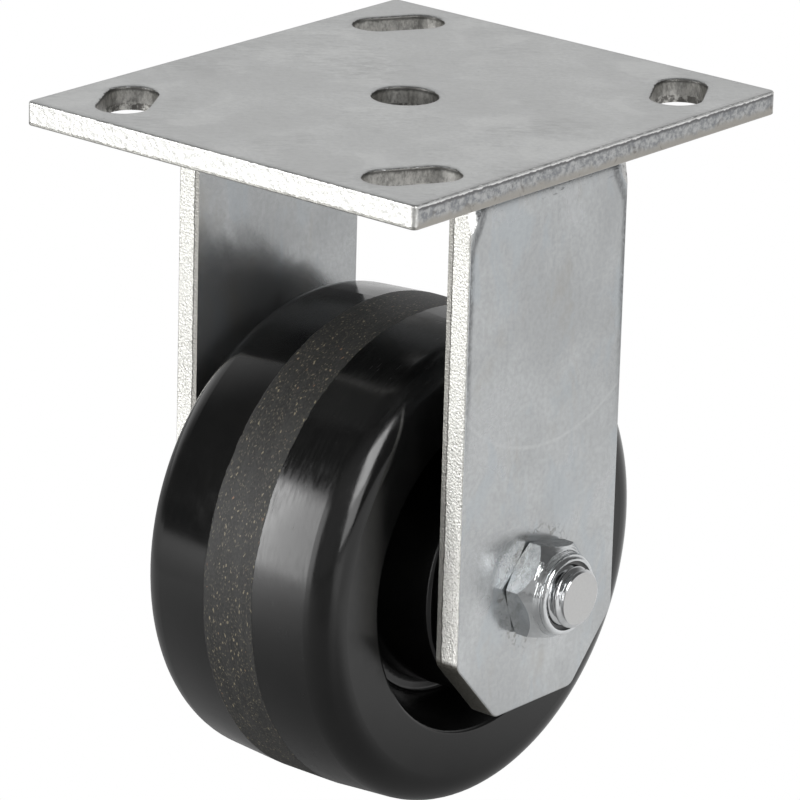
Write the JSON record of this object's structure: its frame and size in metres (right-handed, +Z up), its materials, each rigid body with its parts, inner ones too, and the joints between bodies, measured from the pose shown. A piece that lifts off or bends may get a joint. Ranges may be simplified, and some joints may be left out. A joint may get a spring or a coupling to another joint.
{
  "type": "rigid plate caster",
  "caption": "Rigid caster: slotted steel top plate, welded U-shaped fork and a moulded wheel on a roller bearing round an axle bolt with a lock nut.",
  "frame": {"origin": "centre of the top plate's upper face", "axes": "+Z up through the plate, +X along the axle towards the nut, +Y along the direction of travel"},
  "size_m": [0.1016, 0.1142, 0.1469],
  "materials": {
    "plate_zinc": "zinc plated, satin",
    "fork_zinc": "zinc plated, satin",
    "weld_zinc": "zinc plated weld bead",
    "wheel_phenolic": "moulded, semi-gloss, with a ground matte band on the tread",
    "bearing_steel": "hardened, ground",
    "cage_steel": "plain, oiled",
    "washer_steel": "zinc plated",
    "bolt_zinc": "bright zinc",
    "nut_zinc": "bright zinc",
    "insert_nylon": "plain"
  },
  "bodies": {
    "frame": {"top_plate": "plate_zinc", "fork": "fork_zinc", "weld_front": "weld_zinc", "weld_rear": "weld_zinc", "spanner_bushing": "bearing_steel", "thrust_washer_left": "washer_steel", "thrust_washer_right": "washer_steel", "axle_bolt": "bolt_zinc", "lock_nut": "nut_zinc", "nut_insert": "insert_nylon"},
    "wheel": {"wheel": "wheel_phenolic"},
    "cage": {"roller_cage": "cage_steel"},
    "roller_01": {"roller_01": "bearing_steel"},
    "roller_02": {"roller_02": "bearing_steel"},
    "roller_03": {"roller_03": "bearing_steel"},
    "roller_04": {"roller_04": "bearing_steel"},
    "roller_05": {"roller_05": "bearing_steel"},
    "roller_06": {"roller_06": "bearing_steel"},
    "roller_07": {"roller_07": "bearing_steel"},
    "roller_08": {"roller_08": "bearing_steel"},
    "roller_09": {"roller_09": "bearing_steel"},
    "roller_10": {"roller_10": "bearing_steel"}
  },
  "joints": [
    {"name": "wheel_spin", "type": "hinge", "parent": "frame", "child": "wheel", "pos_m": [0, 0, -0.0955], "axis": [1, 0, 0], "continuous": true},
    {"name": "cage_spin", "type": "hinge", "parent": "frame", "child": "cage", "pos_m": [0, 0, -0.0955], "axis": [1, 0, 0], "continuous": true},
    {"name": "roller_01_spin", "type": "hinge", "parent": "cage", "child": "roller_01", "pos_m": [0, 0.01234, -0.0955], "axis": [1, 0, 0], "continuous": true},
    {"name": "roller_02_spin", "type": "hinge", "parent": "cage", "child": "roller_02", "pos_m": [0, 0.00998, -0.08825], "axis": [1, 0, 0], "continuous": true},
    {"name": "roller_03_spin", "type": "hinge", "parent": "cage", "child": "roller_03", "pos_m": [0, 0.00381, -0.08376], "axis": [1, 0, 0], "continuous": true},
    {"name": "roller_04_spin", "type": "hinge", "parent": "cage", "child": "roller_04", "pos_m": [0, -0.00381, -0.08376], "axis": [1, 0, 0], "continuous": true},
    {"name": "roller_05_spin", "type": "hinge", "parent": "cage", "child": "roller_05", "pos_m": [0, -0.00998, -0.08825], "axis": [1, 0, 0], "continuous": true},
    {"name": "roller_06_spin", "type": "hinge", "parent": "cage", "child": "roller_06", "pos_m": [0, -0.01234, -0.0955], "axis": [1, 0, 0], "continuous": true},
    {"name": "roller_07_spin", "type": "hinge", "parent": "cage", "child": "roller_07", "pos_m": [0, -0.00998, -0.10275], "axis": [1, 0, 0], "continuous": true},
    {"name": "roller_08_spin", "type": "hinge", "parent": "cage", "child": "roller_08", "pos_m": [0, -0.00381, -0.10724], "axis": [1, 0, 0], "continuous": true},
    {"name": "roller_09_spin", "type": "hinge", "parent": "cage", "child": "roller_09", "pos_m": [0, 0.00381, -0.10724], "axis": [1, 0, 0], "continuous": true},
    {"name": "roller_10_spin", "type": "hinge", "parent": "cage", "child": "roller_10", "pos_m": [0, 0.00998, -0.10275], "axis": [1, 0, 0], "continuous": true}
  ],
  "couplings": [
    {"joint": "cage_spin", "follows": "wheel_spin", "ratio": 0.61406},
    {"joint": "roller_01_spin", "follows": "wheel_spin", "ratio": 2.0778},
    {"joint": "roller_02_spin", "follows": "wheel_spin", "ratio": 2.0778},
    {"joint": "roller_03_spin", "follows": "wheel_spin", "ratio": 2.0778},
    {"joint": "roller_04_spin", "follows": "wheel_spin", "ratio": 2.0778},
    {"joint": "roller_05_spin", "follows": "wheel_spin", "ratio": 2.0778},
    {"joint": "roller_06_spin", "follows": "wheel_spin", "ratio": 2.0778},
    {"joint": "roller_07_spin", "follows": "wheel_spin", "ratio": 2.0778},
    {"joint": "roller_08_spin", "follows": "wheel_spin", "ratio": 2.0778},
    {"joint": "roller_09_spin", "follows": "wheel_spin", "ratio": 2.0778},
    {"joint": "roller_10_spin", "follows": "wheel_spin", "ratio": 2.0778}
  ]
}
